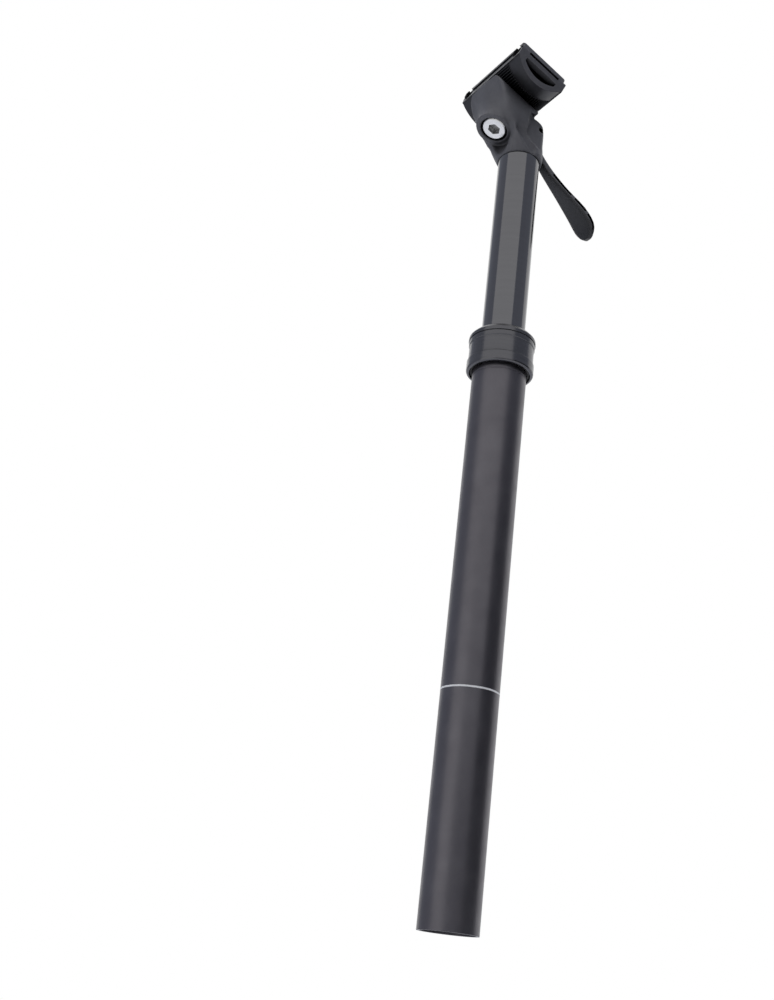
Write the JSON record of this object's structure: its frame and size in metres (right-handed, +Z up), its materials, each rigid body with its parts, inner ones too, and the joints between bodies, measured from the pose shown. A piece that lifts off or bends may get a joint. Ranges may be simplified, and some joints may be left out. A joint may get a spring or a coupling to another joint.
{
  "type": "dropper seatpost",
  "caption": "Telescopic bicycle seatpost with a gas spring, a sealed collar, a tilting serrated saddle rail clamp and a hand lever under the saddle that releases the height.",
  "frame": {"origin": "centre of the post tube's open lower end", "axes": "+Z up the post, +X forwards on the bicycle, +Y to the rider's left"},
  "size_m": [0.0796, 0.0544, 0.4522],
  "materials": {
    "post_satin": "satin charcoal anodised",
    "collar_gloss": "glossy dark anodised",
    "stanchion_gloss": "glossy hard anodised",
    "head_blasted": "bead blasted, anodised dark grey",
    "clamp_black": "matte black anodised",
    "lever_black": "matte black anodised",
    "bolt_steel": "bright plated",
    "steel": "ground",
    "spring_steel": "phosphated",
    "inner_aluminium": "machined",
    "brass": "machined",
    "bushing": "moulded",
    "rubber": "matte"
  },
  "bodies": {
    "mast": {"post_tube": "post_satin", "seal_collar": "collar_gloss", "collar_o_ring": "rubber", "wiper_seal": "rubber", "upper_bushing": "bushing", "foot_plug": "inner_aluminium", "foot_circlip": "spring_steel", "rod_washer": "steel", "rod_nut": "steel", "bottom_bumper": "rubber", "spring_rod": "steel", "rod_piston": "inner_aluminium", "piston_ring": "rubber"},
    "slider": {"stanchion": "stanchion_gloss", "lower_bushing": "bushing", "guide_keys": "brass", "seat_head": "head_blasted", "lever_pivot_pin": "spring_steel", "cartridge_retainer": "inner_aluminium", "cartridge_tube": "steel", "pressure_tube": "inner_aluminium", "rod_gland": "inner_aluminium", "rod_seal": "rubber", "top_out_bumper": "rubber", "valve_block": "brass", "valve_block_seals": "rubber", "clamp_bolt": "bolt_steel", "bolt_washer": "steel", "clamp_nut": "steel"},
    "rail_clamp": {"lower_rail_clamp": "clamp_black", "upper_rail_clamp": "clamp_black"},
    "lever": {"drop_lever": "lever_black"},
    "valve": {"push_pin": "steel", "valve_pin": "steel", "valve_spring": "spring_steel"}
  },
  "joints": [
    {"name": "drop_slide", "type": "slide", "parent": "mast", "child": "slider", "axis": [0, 0, 1], "range_m": [-0.1, 0], "stiffness_N_per_m": 60, "springref_m": 0.4},
    {"name": "rail_tilt", "type": "hinge", "parent": "slider", "child": "rail_clamp", "pos_m": [-0.00513, 0, 0.44615], "axis": [0, 1, 0], "range_deg": [-10, 10]},
    {"name": "lever_lift", "type": "hinge", "parent": "slider", "child": "lever", "pos_m": [0.0052, 0, 0.4134], "axis": [0, -1, 0], "range_deg": [0, 20], "stiffness_Nm_per_rad": 0.3, "springref_deg": -8.59},
    {"name": "valve_push", "type": "slide", "parent": "slider", "child": "valve", "axis": [0, 0, -1], "range_m": [0, 0.0019], "deforming": ["valve_spring"]}
  ],
  "couplings": [
    {"joint": "valve_push", "follows": "lever_lift", "m_per_rad": 0.0052532}
  ]
}
